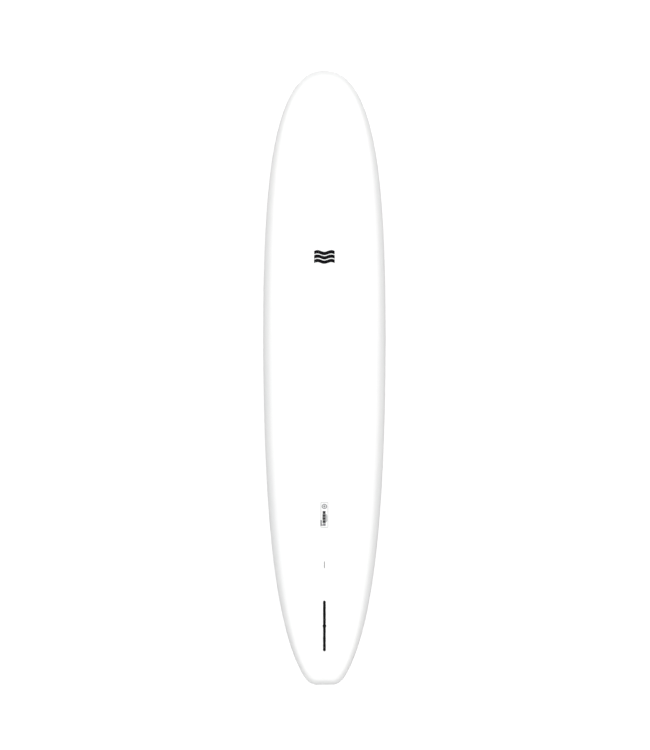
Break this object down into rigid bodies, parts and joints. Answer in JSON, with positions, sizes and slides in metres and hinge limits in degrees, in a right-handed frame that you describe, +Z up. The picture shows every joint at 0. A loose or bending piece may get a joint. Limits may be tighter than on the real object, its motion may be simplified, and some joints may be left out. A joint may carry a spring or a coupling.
{
  "type": "longboard surfboard",
  "caption": "Long round-nosed surfboard with a squash tail and an empty centre fin slot: foam core, wooden stringer, glossy shells, leash plug and air vent.",
  "frame": {"origin": "on the floor under the middle of the board, which lies bottom up on its deck and touches the floor near the nose and the tail", "axes": "+Z up, out of the running surface (the bottom); +Y towards the nose; X across the board"},
  "size_m": [0.5744, 2.896, 0.1237],
  "materials": {
    "shell": "gloss",
    "foam_core": "matte",
    "stringer_wood": "satin",
    "dense_foam": "matte",
    "black_plastic": "satin",
    "stainless": "satin",
    "brass": "satin",
    "rubber": "matte",
    "print_black": "gloss",
    "print_grey": "gloss"
  },
  "bodies": {
    "board": {"bottom_skin": "shell", "deck_skin": "shell", "core_left": "foam_core", "core_right": "foam_core", "stringer": "stringer_wood", "fin_box_insert": "dense_foam", "leash_plug_insert": "dense_foam", "vent_insert": "dense_foam", "fin_box": "black_plastic", "leash_plug_cup": "black_plastic", "leash_plug_bar": "stainless", "vent_housing": "black_plastic", "vent_thread_insert": "brass"},
    "vent_seal": {"vent_o_ring": "rubber"},
    "vent_plug": {"vent_screw": "stainless"}
  },
  "joints": [
    {"name": "vent_travel", "type": "slide", "parent": "board", "child": "vent_seal", "axis": [0, -0.0065, -1], "range_m": [0, 0.0075]},
    {"name": "vent_turn", "type": "hinge", "parent": "vent_seal", "child": "vent_plug", "pos_m": [0, 0.33, 0.04665], "axis": [0, -0.0065, -1], "range_deg": [0, 1800.5]}
  ],
  "couplings": [
    {"joint": "vent_turn", "follows": "vent_travel", "rad_per_m": 4188.8}
  ]
}
